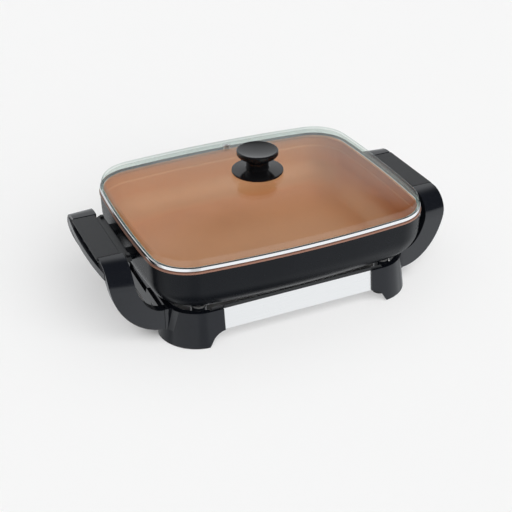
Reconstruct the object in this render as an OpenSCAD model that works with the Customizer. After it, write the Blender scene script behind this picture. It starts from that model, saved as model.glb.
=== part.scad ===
// Electric skillet with a lift-off glass lid and a pan that lifts out of its base.
// Millimetres. X runs from handle to handle, Y from front (-) to back (+), Z is up.
// The origin lies on the table, under the middle of the pan.

/* [Pan] */
// Length of the pan over its lip, handle to handle
pan_length = 395; // [380:1:410]
// Width of the pan over its lip, front to back
pan_width = 312.6; // [300:0.2:330]
// Height of the lip above the table
lip_height = 124.4; // [118:0.2:132]
// Height of the pan's flat underside above the table
pan_bottom = 54; // [50:0.5:58]
// Corner radius of the lip in plan
corner_radius = 57.5; // [50:0.5:66]
// How far each long side bulges between its corners
side_bow = 6.6; // [3:0.1:9]
// How far each short side bulges between its corners
end_bow = 3; // [1.5:0.1:6]
// Outside radius between the wall and the bottom
bottom_radius = 42; // [36:0.5:46]
// How much rounder the corners get, per millimetre that the bottom draws in
corner_growth = 0.6; // [0:0.05:0.8]
// How far the wall leans in from the lip to that radius
wall_lean = 1.5; // [1:0.1:2.5]
// Thickness of the wall at the lip
lip_wall = 3.2; // [2.6:0.1:4]
// Thickness of the wall below the step inside
pan_wall = 4.4; // [4:0.1:5.5]
// Depth of the step inside, below the lip
step_depth = 13; // [10:0.5:16]
// Thickness of the cast floor
floor_thickness = 4.2; // [3.5:0.1:6]
// Thickness of the ceramic coating
coating = 0.8; // [0.6:0.1:1]
// Height of the coated band on the outside of the lip
lip_band = 2.6; // [2:0.1:4]

/* [Lid] */
// Thickness of the tempered glass
glass = 3.5; // [3:0.1:4.5]
// Height of the shoulder of the glass above the pan's lip
shoulder_height = 20; // [16:0.5:26]
// Rise of the dome from the shoulder to its middle
dome_rise = 19; // [14:0.5:24]
// Radius of the shoulder outside
shoulder_radius = 7; // [5:0.5:9]
// Set-back of the steel rim from the edge of the lip
rim_setback = 1; // [0.5:0.1:2]
// Thickness of the steel rim
rim_steel = 0.9; // [0.6:0.1:1.2]
// Height of the steel rim
rim_height = 6.2; // [5:0.1:8]
// Gap between the lid's rim and the lip that it rests on
lid_gap = 0.3; // [0.2:0.05:0.4]
// Distance of the steam vent from the lid's rear edge
vent_inset = 50; // [46:1:54]

/* [Knob] */
// Radius of the knob's top
knob_radius = 28.2; // [24:0.2:32]
// Radius of the knob's neck
neck_radius = 15.4; // [12:0.2:18]
// Height of the knob above its flange
knob_height = 28.5; // [24:0.5:34]
// Radius of the flange on the glass
flange_radius = 35.2; // [30:0.2:38]
// Thickness of the flange at its edge
flange_edge = 2.4; // [1.8:0.2:3.4]

/* [Base] */
// How far the base's ends stand in from the lip, at the table
base_end_inset = 16.3; // [14:0.1:20]
// How far the base's front and back stand in from the lip, at the table
base_side_inset = 16.5; // [14:0.1:20]
// Outside corner radius of the base at the table
base_corner = 55; // [50:1:58]
// How far the base's walls flare out from the legs' top edge to the table
base_flare = 7; // [4:0.5:8]
// Height of the legs' top edge
leg_top = 50.6; // [48:0.2:52]
// Clearance under the legs' walls
leg_clearance = 1; // [0.5:0.1:1.8]
// Wall of the end mouldings
base_wall = 3; // [2.6:0.1:4]
// Length of a leg's front, from the base's end to the band
leg_length = 73; // [66:0.2:80]
// Height of the band's lower edge
band_bottom = 20.8; // [18:0.2:24]
// Length of the curve from the leg's foot up to the band
leg_sweep = 24; // [18:1:26]
// Thickness of the steel band
band_steel = 1; // [0.8:0.1:1.4]
// Thickness of the rails behind the bands
rail_web = 2.5; // [2:0.1:3.2]
// Distance of the foot posts from the base's ends
post_end_inset = 46.2; // [44:0.2:50]
// Distance of the foot posts from the base's front and back
post_side_inset = 27.8; // [25:0.2:32]
// Radius of the foot posts
post_radius = 10; // [8:0.5:11]
// Thickness of the rubber feet
foot_thickness = 2.5; // [2:0.1:4]
// Thickness of the rest pads under the pan
rest_thickness = 2; // [1.5:0.1:3]
// Gap between the pan and the rest pads
rest_gap = 0.3; // [0.2:0.05:0.4]

/* [Handles] */
// How far the arms' faces stand in from the base's front, where they leave the legs
arm_inset = 38.3; // [36:0.1:41]
// How much further in the arms' faces stand at the grip
arm_taper = 6.5; // [4:0.5:10]
// Reach of the arms from where their curves start to the grip's outer side
arm_reach = 66.5; // [62:0.5:70]
// Width of an arm below the grip
arm_width = 32; // [28:0.5:36]
// Height of the arm where it leaves the leg
arm_root_height = 28.5; // [24:0.5:30]
// Height of the arms' lower edge above the table
arm_bottom = 20.4; // [19:0.2:23]
// Height of the grips' top face
grip_top = 118.7; // [114:0.1:122]
// Radius that turns an arm over into the grip
arm_turn = 33; // [28:1:36]
// Depth of the arms' channel section
arm_depth = 13; // [11:0.5:15]
// Wall of the arms' channel section
arm_wall = 3; // [2.4:0.1:3.6]
// Half length of the grip plates
grip_half = 55.2; // [48:0.2:58]
// Gap between the pan's lip and the tray beside it
tray_gap = 5; // [4:0.5:7]
// Thickness of the grip plates at their edges
grip_edge = 5.4; // [4:0.2:6.5]
// Gap between a grip plate and the arms
grip_seam = 0.8; // [0.3:0.1:1.2]

/* [Heating] */
// Radius of the heating element's sheath
sheath_radius = 4; // [3.2:0.1:4.4]
// Radius of the terminal pins
pin_radius = 2.4; // [2:0.1:3]
// Length of the terminal pins
pin_length = 25; // [20:1:30]
// Half distance between the terminal pins
pin_half_spacing = 18; // [15:0.5:20]
// Radius of the bore that takes the probe's sensor
sensor_radius = 3.1; // [2.5:0.1:3.3]

/* [Hidden] */

$fn = 64;
eps = 0.01;
beyond = 400;    // how far a cutter reaches past what it cuts
fit = 0.1;      // clearance between pieces that are screwed together
slip = 0.05;    // radial clearance of a screw in the piece that it holds

// --- the pan's outline in plan: four corner arcs between four long, shallow arcs ---
half_l = pan_length / 2;
half_w = pan_width / 2;
end_steps = 3;
corner_steps = 8;
side_steps = 4;

function polar(centre, radius, angle) = centre + radius * [cos(angle), sin(angle)];
// The radius of a shallow arc that bulges by bow, and ends where it meets a corner arc at a distance along.
function bow_radius(along, corner, bow) =
    (pow(along, 2) + pow(corner + bow, 2) - pow(corner, 2)) / (2 * bow);

// A quarter of the outline, moved in by inset, from the +X side round to the +Y side. The corner is
// rounder by growth.
function quarter(inset, growth) =
    let (r = corner_radius + growth, x = half_l - r - end_bow, y = half_w - r - side_bow,
         side = bow_radius(x, r, side_bow), end = bow_radius(y, r, end_bow),
         end_angle = atan2(y, x - half_l + end), side_angle = atan2(y - half_w + side, x))
    concat(
        [for (k = [0 : end_steps - 1]) polar([half_l - end, 0], end - inset, end_angle * k / end_steps)],
        [for (k = [0 : corner_steps - 1])
            polar([x, y], r - inset, end_angle + (side_angle - end_angle) * k / corner_steps)],
        [for (k = [0 : side_steps])
            polar([0, half_w - side], side - inset, side_angle + (90 - side_angle) * k / side_steps)]);

function outline(inset, growth = 0) = let (q = quarter(inset, growth), last = len(q) - 1) concat(
    [for (k = [0 : last - 1]) q[k]],
    [for (k = [last : -1 : 1]) [-q[k].x, q[k].y]],
    [for (k = [0 : last - 1]) [-q[k].x, -q[k].y]],
    [for (k = [last : -1 : 1]) [q[k].x, -q[k].y]]);

function ring(inset, z, growth = 0) = [for (p = outline(inset, growth)) [p.x, p.y, z]];

// Skins a stack of rings. An open stack runs from a cap that faces down to one that faces up.
// The facets split alike whether the stack climbs or falls, so skins that share rings lie flush.
module skin(rings, loop = false) {
    n = len(rings[0]);
    m = len(rings);
    sides = [for (k = [0 : m - (loop ? 1 : 2)], i = [0 : n - 1])
        let (up = (k + 1) % m, next = (i + 1) % n,
             a = k * n + i, b = up * n + i, c = up * n + next, d = k * n + next)
        each rings[k][0].z > rings[up][0].z ? [[a, b, c], [a, c, d]] : [[b, c, d], [b, d, a]]];
    caps = loop ? [] : [[for (i = [0 : n - 1]) i], [for (i = [n - 1 : -1 : 0]) (m - 1) * n + i]];
    polyhedron(points = [for (r = rings) each r], faces = concat(sides, caps), convexity = 6);
}

// --- the pan's section, as [inset, height] ---
bend_steps = 6;
outer_centre = [wall_lean + bottom_radius, pan_bottom + bottom_radius];
floor_top = pan_bottom + floor_thickness;
inner_radius = bottom_radius - pan_wall - wall_lean;
inner_centre = [wall_lean + pan_wall + inner_radius, floor_top + inner_radius];
step_z = lip_height - step_depth;

function bend(centre, radius, k) = centre - radius * [sin(90 * k / bend_steps), cos(90 * k / bend_steps)];
function outer_bend() = [for (k = [0 : bend_steps]) bend(outer_centre, bottom_radius, k)];
// The inside, from the top down to the floor, moved in by the layer that lies on it.
function inside(layer) = concat(
    [[lip_wall + layer, lip_height - coating + layer],
     [lip_wall + layer, step_z],
     [pan_wall + layer, step_z - (pan_wall - lip_wall) - layer]],
    [for (k = [bend_steps : -1 : 0]) bend(inner_centre, inner_radius - layer, k)]);
// A point half way through the wall, for what is cast on to it.
function mid_wall(k) = (bend(outer_centre, bottom_radius, k) + bend(inner_centre, inner_radius, k)) / 2;

// The pan's corners get rounder as its outside draws in towards the bottom.
function draw_in(z) = let (up = max(0, min(bottom_radius, z - pan_bottom)))
    bottom_radius - sqrt(pow(bottom_radius, 2) - pow(bottom_radius - up, 2));
function pan_rings(section) = [for (p = section) ring(p.x, p.y, corner_growth * draw_in(p.y))];
function rings(section) = [for (p = section) ring(p.x, p.y)];
function reverse(list) = [for (k = [len(list) - 1 : -1 : 0]) list[k]];

// --- heights that several pieces share ---
rim_bottom = lip_height + lid_gap;
glass_bottom = rim_bottom + rim_steel;
rim_top = rim_bottom + rim_height;
glass_edge = rim_setback + rim_steel;
shoulder_z = lip_height + shoulder_height;
glass_top = shoulder_z + dome_rise;
gasket_thickness = 1;
flange_bottom = glass_top + gasket_thickness;
flange_top = flange_bottom + flange_edge;
terminal_z = pan_bottom - 0.2 - sheath_radius;
end_x = half_l - base_end_inset;
front_y = half_w - base_side_inset;
band_half = end_x - leg_length;
post_x = end_x - post_end_inset;
post_y = front_y - post_side_inset;
post_top = pan_bottom - rest_gap - rest_thickness;

// --- shared small parts ---
// Turns a drawing in X and Y so that it stands in X and Z, and is depth thick towards +Y.
module stand_xz(depth) { rotate([90, 0, 0]) translate([0, 0, -depth]) linear_extrude(depth) children(); }
// Turns a drawing so that its X lies along Y and its Y along Z, and is length long towards +X.
module stand_yz(length) { rotate([90, 0, 90]) linear_extrude(length) children(); }
module four_corners() { for (x = [-1, 1], y = [-1, 1]) scale([x, y, 1]) children(); }
module at_posts() { for (x = [-1, 1], y = [-1, 1]) translate([x * post_x, y * post_y, 0]) children(); }
module mirrored_x(side) { if (side > 0) children(); else mirror([1, 0, 0]) children(); }

screw_radius = 2;
screw_head_radius = 3.6;
screw_head_height = 2.4;
// A screw along +Z with its head below the origin.
module screw(length) {
    difference() {
        union() {
            translate([0, 0, -screw_head_height]) cylinder(r = screw_head_radius, h = screw_head_height);
            cylinder(r = screw_radius, h = length);
        }
        for (turn = [0, 90]) rotate(turn)
            translate([-2.1, -0.45, -screw_head_height - eps]) cube([4.2, 0.9, 1.2 + eps]);
    }
}

// --- base ---
// How far the walls stand in at a height, compared with the table.
function lean(z) = base_flare * z / leg_top;

// The body that the base's walls are cut from, moved in by inset: four cones and the flats between them.
module skirt(inset, low, high) {
    x = end_x - base_corner;
    y = front_y - base_corner;
    foot = base_corner - inset - lean(low);
    head = base_corner - inset - lean(high);
    translate([0, 0, low]) {
        for (sx = [-1, 1], sy = [-1, 1]) translate([sx * x, sy * y, 0])
            cylinder(r1 = foot, r2 = head, h = high - low);
        translate([-x, 0, 0]) stand_yz(2 * x)
            polygon([[-y - foot, 0], [y + foot, 0], [y + head, high - low], [-y - head, high - low]]);
        translate([0, -y, 0]) stand_xz(2 * y)
            polygon([[-x - foot, 0], [x + foot, 0], [x + head, high - low], [-x - head, high - low]]);
    }
}

// The curve that lifts a leg's lower edge, from its foot to the band.
sweep = [[0, 0], [0.07, 0.08], [0.15, 0.22], [0.25, 0.43], [0.35, 0.6], [0.47, 0.74], [0.62, 0.86],
         [0.8, 0.95], [1, 1]];

// What is cut away under the band, beside a leg whose foot ends at foot_at.
module leg_arch(foot_at, height) {
    polygon(concat([[-1, -1], [foot_at, -1]],
                   [for (s = sweep) [foot_at - leg_sweep * s.x, height * s.y]],
                   [[-1, height]]));
}

foot_edge_x = band_half + leg_sweep;
side_foot_y = front_y - 55.8;
side_arch_height = arm_bottom - 1;
tongue_from = 10;
tongue_to = 40;
tongue_foot_to = 32.2;
groove_at = 21.5;
groove_depth = 1.8;
rail_x = band_half + 16;
rail_screw_x = band_half + 11;
rail_screw_z = 40;
band_inset = base_wall - 1;
rail_inset = band_inset + band_steel + fit;
rail_back = rail_inset + rail_web;
rail_seat = front_y - rail_back - lean(rail_screw_z - screw_head_radius);
handle_screw_y = 58;
handle_screw_z = 33;
handle_seat = end_x - base_wall - lean(handle_screw_z - screw_head_radius);
bridge_top = 43;
bridge_thickness = 3;
notch_half = 34;
notch_bottom = 36;
ledge_from = rail_x + 2;
ledge_width = 5;
ledge_thickness = 2;
corner = [end_x - base_corner, -(front_y - base_corner), 0];

tongue_run = (base_corner - base_flare / 2) * (tongue_to - tongue_foot_to) / 57.3;
tongue_slant = atan2(tongue_run, leg_top - arm_bottom);

// The wedge that a handle's tongue fills in the leg's corner, grown by gap. Its far side slants.
module tongue_wedge(gap) {
    reach = base_corner + 20;
    translate(corner) intersection() {
        translate([0, 0, arm_bottom - gap]) cylinder(r = reach, h = leg_top - arm_bottom + 2 * gap);
        rotate([0, 0, -tongue_from + gap / base_corner * 57.3])
            translate([0, -reach, 0]) cube([reach, reach, 100]);
        rotate([0, 0, -(tongue_foot_to + tongue_to) / 2])
            translate([0, 0, (arm_bottom + leg_top) / 2]) rotate([tongue_slant, 0, 0])
                translate([0, -gap, -70]) cube([reach, reach, 140]);
    }
}
// The ridge beside the arm, at the root of the tongue, grown by gap.
module tongue_ridge(gap) {
    translate([end_x - 8.3 - gap, -arm_root_y - 1.4 - gap, arm_bottom - gap])
        cube([4.4 + 2 * gap, 3.4 + 2 * gap, leg_top - arm_bottom + 2 * gap]);
}

// The hollow inside the base's walls, with a ledge round the top of the end mouldings.
module base_hollow() {
    skirt(base_wall, 0, leg_top - ledge_thickness);
    skirt(base_wall + ledge_width, leg_top - 3, leg_top + 1);
    intersection() {
        skirt(base_wall, leg_top - 3, leg_top + 1);
        translate([0, -front_y, 0]) cube([ledge_from, 2 * front_y, 100]);
    }
}

// One end moulding: two corner legs, the wall between them, foot posts and ribs. Drawn at +X.
module base_end(with_notch) {
    difference() {
        union() {
            intersection() {
                difference() {
                    skirt(0, leg_clearance, leg_top);
                    base_hollow();
                }
                translate([band_half, -front_y - 1, 0]) cube([beyond, 2 * front_y + 2, beyond]);
            }
            for (y = [-1, 1]) scale([1, y, 1]) {
                translate([post_x, -post_y, foot_thickness])
                    cylinder(r = post_radius, h = post_top - foot_thickness);
                intersection() {
                    skirt(base_wall - 0.6, foot_thickness, leg_top - 3);
                    union() {
                        translate([post_x - 1.25, -front_y, 0]) cube([2.5, front_y - post_y, 100]);
                        translate([post_x + 4, -post_y - 7.5, 0]) cube([60, 2.5, 100]);
                    }
                }
            }
        }
        for (y = [-1, 1]) scale([1, y, 1]) {
            translate([0, -front_y - 1, 0]) stand_xz(9) leg_arch(foot_edge_x, band_bottom);
            tongue_slot();
            // rebate for the band's end
            intersection() {
                skirt(band_inset - fit, band_bottom - fit, leg_top + 1);
                translate([band_half - 1, -front_y, 0]) cube([6.2, 40, 100]);
            }
            translate([rail_screw_x, -front_y + lean(rail_screw_z) + 1.1, rail_screw_z]) rotate([-90, 0, 0])
                cylinder(r = screw_radius + slip, h = 10);
            translate([end_x - 20, -handle_screw_y, handle_screw_z]) rotate([0, 90, 0]) {
                cylinder(r = screw_radius + 0.2, h = 30);
                cylinder(r = screw_head_radius + 0.2, h = handle_seat - end_x + 20);
            }
        }
        // arch in the end wall
        translate([end_x - 12, 0, 0]) stand_yz(14) side_arch();
        if (with_notch)
            translate([end_x - 22, -notch_half, notch_bottom]) cube([24, 2 * notch_half, 40]);
        // hollow foot posts, open below the feet's stems
        for (y = [-1, 1]) translate([post_x, y * post_y, 0])
            cylinder(r = foot_stem + slip, h = foot_stem_height + 1);
    }
}
foot_stem = 4;
foot_stem_height = 10;

module side_arch() {
    for (y = [-1, 1]) scale([y, 1]) leg_arch(side_foot_y, side_arch_height);
}

module tongue_slot() {
    tongue_ridge(0.25);
    difference() {
        tongue_wedge(0.25);
        skirt(base_wall + 0.2, 0, leg_top + 1);
    }
}

module base_end_left() { color("#202226") mirror([1, 0, 0]) base_end(false); }
module base_end_right() { color("#202226") base_end(true); }

// A point of the front wall's section, as [Y, Z], at an inset from its outside.
function face(inset, z) = [-(front_y - inset - lean(z)), z];

// A rail: a pressed channel behind the band, with a lip above the band. Drawn at the front.
rail_top = leg_top + 5.2;
rail_low = band_bottom + band_steel + fit;
flange = [9, 0];
module rail() {
    difference() {
        translate([-rail_x, 0, 0]) stand_yz(2 * rail_x)
            polygon([face(rail_inset, rail_low), face(rail_inset, rail_top - 1.6),
                     face(rail_back, rail_top - 3), face(rail_back, rail_low + rail_web),
                     face(rail_back, rail_low + rail_web) + flange, face(rail_back, rail_low) + flange]);
        for (x = [-1, 1]) {
            translate([x * rail_screw_x, 0, rail_screw_z]) rotate([90, 0, 0]) {
                cylinder(r = screw_radius + 0.2, h = front_y);
                cylinder(r = screw_head_radius + 0.2, h = rail_seat);
            }
            // the bottom flange stops short of the posts
            translate([x * (rail_x - 7) - 8, face(rail_back, rail_low + 6).x, 0])
                cube([16, 20, rail_low + 6]);
        }
    }
    // lip above the band
    translate([-band_half + 0.8, 0, 0]) stand_yz(2 * band_half - 1.6)
        polygon([face(rail_inset + eps, leg_top + 0.3), face(0.8, leg_top + 0.3), face(0.8, rail_top - 0.4),
                 face(1.4, rail_top), face(rail_inset + eps, rail_top - 1.6)]);
}
module front_rail() { color("#1c1e21") rail(); }
module rear_rail() { color("#1c1e21") mirror([0, 1, 0]) rail(); }

// The polished band, folded in under the rail.
module band() {
    reach = band_half + 4;
    back = band_inset + band_steel;
    translate([-reach, 0, 0]) stand_yz(2 * reach)
        polygon([face(band_inset, band_bottom), face(band_inset, leg_top - 0.1), face(back, leg_top - 0.1),
                 face(back, band_bottom + band_steel), face(back, band_bottom + band_steel) + flange,
                 face(back, band_bottom) + flange]);
}
module front_band() { color("#d6d8da") band(); }
module rear_band() { color("#d6d8da") mirror([0, 1, 0]) band(); }

module rail_screws() {
    color("#8d9094") four_corners()
        translate([rail_screw_x, -rail_seat, rail_screw_z]) rotate([90, 0, 0])
            screw(front_y - lean(rail_screw_z) - 1.4 - rail_seat);
}

module rubber_feet() {
    color("#151515") at_posts() {
        cylinder(r = post_radius - 0.6, h = foot_thickness);
        cylinder(r = foot_stem, h = foot_stem_height);
    }
}
module rest_pads() {
    color("#7c2f22") at_posts() translate([0, 0, post_top])
        difference() {
            cylinder(r = post_radius - 1, h = rest_thickness);
            translate([0, 0, 0.8]) cylinder(r = 4, h = rest_thickness);
        }
}

// --- handle frames ---
arm_root_y = front_y - arm_inset;
arm_slant = atan2(arm_taper, arm_reach);
arm_start = end_x - 2.6;     // where the arms' curves start
arm_shoulder_z = grip_top - 14;
turn_steps = 8;
curve_steps = 15;
// The arm's face: a J between two quarter ellipses, drawn outward from the leg and upward.
module arm_face(shrink) {
    out_x = arm_reach - shrink;
    in_x = out_x - arm_width + 2 * shrink;
    out_z = arm_shoulder_z - arm_bottom - shrink;
    in_z = arm_shoulder_z - arm_bottom - arm_root_height + shrink;
    start = shrink > 0 ? shrink : -9;
    polygon(concat(
        [[start, arm_shoulder_z - out_z]],
        [for (k = [1 : curve_steps]) let (t = 90 * k / curve_steps)
            [out_x * sin(t), arm_shoulder_z - out_z * cos(t)]],
        [[out_x, grip_top + 1], [in_x, grip_top + 1]],
        [for (k = [curve_steps : -1 : 1]) let (t = 90 * k / curve_steps)
            [in_x * sin(t), arm_shoulder_z - in_z * cos(t)]],
        [[start, arm_shoulder_z - in_z]]));
}
// The arm seen end on: up the face and over into the grip, from depth near to depth far.
module arm_hook(near, far) {
    reach = 62;
    turn_z = grip_top - arm_turn;
    polygon(concat(
        [[near, 0], [near, turn_z]],
        [for (k = [1 : turn_steps]) let (t = 90 * k / turn_steps)
            [arm_turn - (arm_turn - near) * cos(t), turn_z + (arm_turn - near) * sin(t)]],
        [[reach, grip_top - near], [reach, grip_top - far]],
        [for (k = [turn_steps : -1 : 0]) let (t = 90 * k / turn_steps)
            [arm_turn - (arm_turn - far) * cos(t), turn_z + (arm_turn - far) * sin(t)]],
        [[far, 0]]));
}
// The arm's whole shape: the J runs straight back, and the hook follows the slanting face.
module arm_solid(shrink, near, far) {
    translate([arm_start, -arm_root_y, 0]) intersection() {
        stand_xz(70) arm_face(shrink);
        rotate([0, 0, arm_slant]) translate([-12, 0, 0]) stand_yz(107) arm_hook(near, far);
    }
}
rib_thickness = 2;
module arm() {
    difference() {
        arm_solid(0, 0, arm_depth);
        difference() {
            arm_solid(arm_wall, arm_wall, arm_depth + 6);
            translate([arm_start, -arm_root_y, 0]) {
                for (z = [48, 66, 84]) translate([0, -1, z]) cube([100, 20 + arm_depth, rib_thickness]);
                translate([24, -1, 0]) cube([rib_thickness, 20 + arm_depth, 47]);
                translate([0, 38, grip_top - arm_depth]) cube([100, rib_thickness, arm_depth]);
            }
        }
        // the leg's surface, except where the tongue passes through it
        difference() {
            skirt(-fit, 0, leg_top + 3);
            tongue_wedge(0);
        }
        skirt(base_wall, 0, leg_top + 3);
        translate([0, -grip_half - grip_seam, 0]) cube([beyond, beyond, beyond]);
    }
    // end wall of the grip's hollow, at the seam
    intersection() {
        arm_solid(0, 0, arm_depth);
        translate([0, -grip_half - grip_seam - arm_wall, grip_top - arm_depth - 1])
            cube([beyond, arm_wall, beyond]);
    }
}
// The tongue that keys the arm into the leg's corner, with its tapered groove.
module tongue() {
    difference() {
        intersection() {
            tongue_wedge(0);
            difference() {
                skirt(0, 0, leg_top + 1);
                skirt(base_wall, 0, leg_top + 2);
            }
        }
        difference() {
            translate(corner) rotate([0, 0, -groove_at]) rotate([90, 0, 90]) linear_extrude(base_corner + 10)
                polygon([[0, arm_bottom + 2.3], [0, leg_top + 6], [-6.6, leg_top + 6]]);
            skirt(groove_depth, 0, leg_top + 10);
        }
    }
    tongue_ridge(0);
}
bar_bow = 5;
bar_span = 80;
bar_thickness = 5;
bar_top = grip_top - 9.4;
bar_height = 10;
bar_arc = (pow(bar_span, 2) + pow(bar_bow, 2)) / (2 * bar_bow);
bar_x = arm_start + arm_reach + 5.5;
module outer_bar() {
    translate([0, 0, bar_top - bar_height]) intersection() {
        translate([bar_x - bar_arc, 0, 0]) difference() {
            cylinder(r = bar_arc, h = bar_height, $fn = 200);
            translate([0, 0, -1]) cylinder(r = bar_arc - bar_thickness, h = bar_height + 2, $fn = 200);
        }
        translate([0, -bar_span, -1]) cube([beyond, 2 * bar_span, bar_height + 2]);
    }
}
bridge_bottom = arm_bottom + 1.5;
module handle_frame() {
    difference() {
        union() {
            for (y = [-1, 1]) scale([1, y, 1]) { arm(); tongue(); }
            outer_bar();
            // the bridge that the screws draw against the end wall
            translate([end_x + fit, -arm_root_y + 4, 0]) stand_xz(2 * arm_root_y - 8)
                polygon([[-lean(bridge_bottom), bridge_bottom],
                         [bridge_thickness - lean(bridge_bottom), bridge_bottom],
                         [bridge_thickness - lean(bridge_top), bridge_top],
                         [-lean(bridge_top), bridge_top]]);
        }
        for (y = [-1, 1]) translate([end_x - 10, y * handle_screw_y, handle_screw_z]) rotate([0, 90, 0])
            cylinder(r = screw_radius + slip, h = 20);
        translate([end_x - 10, -notch_half, notch_bottom]) cube([20, 2 * notch_half, 40]);
    }
}
module handle_frame_left() { color("#26282c") mirror([1, 0, 0]) handle_frame(); }
module handle_frame_right() { color("#26282c") handle_frame(); }

module handle_screws() {
    color("#8d9094") four_corners()
        translate([handle_seat, handle_screw_y, handle_screw_z]) rotate([0, 90, 0])
            screw(end_x - lean(handle_screw_z) + bridge_thickness - 0.4 - handle_seat);
}

// --- pan ---
tray_inner = half_l + tray_gap;
tray_screw_x = tray_inner + 4;
lug_x = tray_inner + 9.5;
lug_y = 34;
lug_half = 10;
lug_top = 106;
lug_height = 8;
terminal_lug_x = half_l - 8.5;
terminal_lug_half = 26;
guard_screw_y = 21;
guard_screw_z = 60;

module pan_shell() {
    color("#1b1c1f") difference() {
        union() {
            skin(pan_rings(concat(
                outer_bend(),
                [[coating + 0.2, lip_height - lip_band - 0.4],
                 [coating, lip_height - lip_band], [coating, lip_height - coating]],
                inside(0))));
            for (x = [-1, 1], y = [-1, 1]) scale([x, 1, 1])
                translate([half_l - lip_wall + 0.5, y * lug_y - lug_half, lug_top - lug_height])
                    cube([lug_x - half_l + lip_wall - 0.5, 2 * lug_half, lug_height]);
            translate([0, -terminal_lug_half, 0]) stand_xz(2 * terminal_lug_half) terminal_lug();
        }
        for (x = [-1, 1], y = [-1, 1]) translate([x * tray_screw_x, y * lug_y, lug_top - 20])
            cylinder(r = screw_radius + 0.2, h = 40);
        for (y = [-1, 1]) translate([terminal_lug_x - 8, y * guard_screw_y, guard_screw_z])
            rotate([0, 90, 0]) cylinder(r = screw_radius + slip, h = 20);
    }
}
// The pad cast on to the pan's lower bend, drawn in X and Z, that carries the guard.
module terminal_lug() {
    points = [for (k = [1.4 : 0.8 : 3.8]) [half_l - mid_wall(k).x, mid_wall(k).y]];
    polygon(concat(points, [[terminal_lug_x, points[3].y], [terminal_lug_x, pan_bottom + 2.5],
                            [points[0].x, pan_bottom + 2.5]]));
}

module ceramic_coating() {
    color("#b8734a") skin(pan_rings(concat(
        reverse(inside(0)),
        [[coating, lip_height - coating], [coating, lip_height - lip_band], [0, lip_height - lip_band],
         [0, lip_height - 0.5], [0.5, lip_height]],
        [for (p = inside(coating)) p])));
}

tray_rail = 8;
tray_floor = 3;
tray_top = lug_top + tray_floor;
tray_half = grip_half + 4.8;
tray_floor_half = grip_half - 1.2;
grip_inner = tray_inner + tray_rail + 4.9;
grip_outer = arm_start + arm_reach + 1.3;
grip_screw_x = grip_outer - 18.4;
tray_end = grip_outer - 8.4;
hook = [4.6, 5, 6];
grip_screw_y = 36;
module handle_tray() {
    difference() {
        union() {
            translate([tray_inner, -tray_floor_half, lug_top])
                cube([tray_end - tray_inner, 2 * tray_floor_half, tray_floor]);
            // the rail along the pan's side, with a rounded back
            translate([tray_inner, -tray_half, lug_top]) stand_xz(2 * tray_half)
                polygon([[0, 0], [0, 4.5], [1.5, 6.4], [tray_rail - 0.8, 6.4], [tray_rail, 5.6],
                         [tray_rail, 0]]);
            // the stop behind the grip plate
            translate([tray_inner + tray_rail - eps, -tray_floor_half, lug_top])
                cube([grip_inner - tray_inner - tray_rail - 0.5, 2 * tray_floor_half, 8.6]);
            for (y = [-1, 1]) translate([tray_end - eps, y * 40 - 5, lug_top]) cube([4, 10, tray_floor]);
            // the hooked ends
            for (y = [-1, 1])
                translate([tray_inner + 1.2, y * (tray_half - 5) - hook.y / 2, lug_top + tray_floor])
                    cube(hook);
        }
        for (y = [-1, 1]) {
            translate([tray_screw_x, y * lug_y, lug_top - 1])
                cylinder(r = screw_radius + slip, h = 2 * tray_floor);
            translate([grip_screw_x, y * grip_screw_y, lug_top - 1])
                cylinder(r = screw_radius + 0.2, h = 3 * tray_floor);
        }
    }
}
module handle_tray_left() { color("#1f2124") mirror([1, 0, 0]) handle_tray(); }
module handle_tray_right() { color("#1f2124") handle_tray(); }

seam_chamfer = 0.9;
grip_screw_grasp = 5;    // how deep the screws go into a grip plate
module grip_plate() {
    edge = grip_outer + 0.4;
    low = grip_top - grip_edge;
    difference() {
        translate([0, -grip_half, 0]) stand_xz(2 * grip_half)
            polygon([[grip_inner, tray_top], [tray_end - 2, tray_top], [tray_end, low],
                     [edge - 1.2, low], [edge, low + 1.2], [edge, grip_top - 1], [edge - 1, grip_top],
                     [grip_inner + 1, grip_top], [grip_inner, grip_top - 1]]);
        // chamfers along the seams with the arms
        for (y = [-1, 1]) translate([0, y * grip_half, grip_top]) rotate([45, 0, 0])
            translate([0, -seam_chamfer, -seam_chamfer]) cube([beyond, 2 * seam_chamfer, 2 * seam_chamfer]);
        for (y = [-1, 1]) translate([grip_screw_x, y * grip_screw_y, tray_top - 1])
            cylinder(r = screw_radius + slip, h = grip_screw_grasp + 2);
    }
}
module grip_plate_left() { color("#3b3d40") mirror([1, 0, 0]) grip_plate(); }
module grip_plate_right() { color("#3b3d40") grip_plate(); }

module tray_screws() {
    color("#8d9094") four_corners() translate([tray_screw_x, lug_y, lug_top - lug_height])
        screw(lug_height + tray_floor + 1);
}
module grip_screws() {
    color("#8d9094") four_corners() translate([grip_screw_x, grip_screw_y, lug_top])
        screw(tray_floor + grip_screw_grasp);
}

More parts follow.
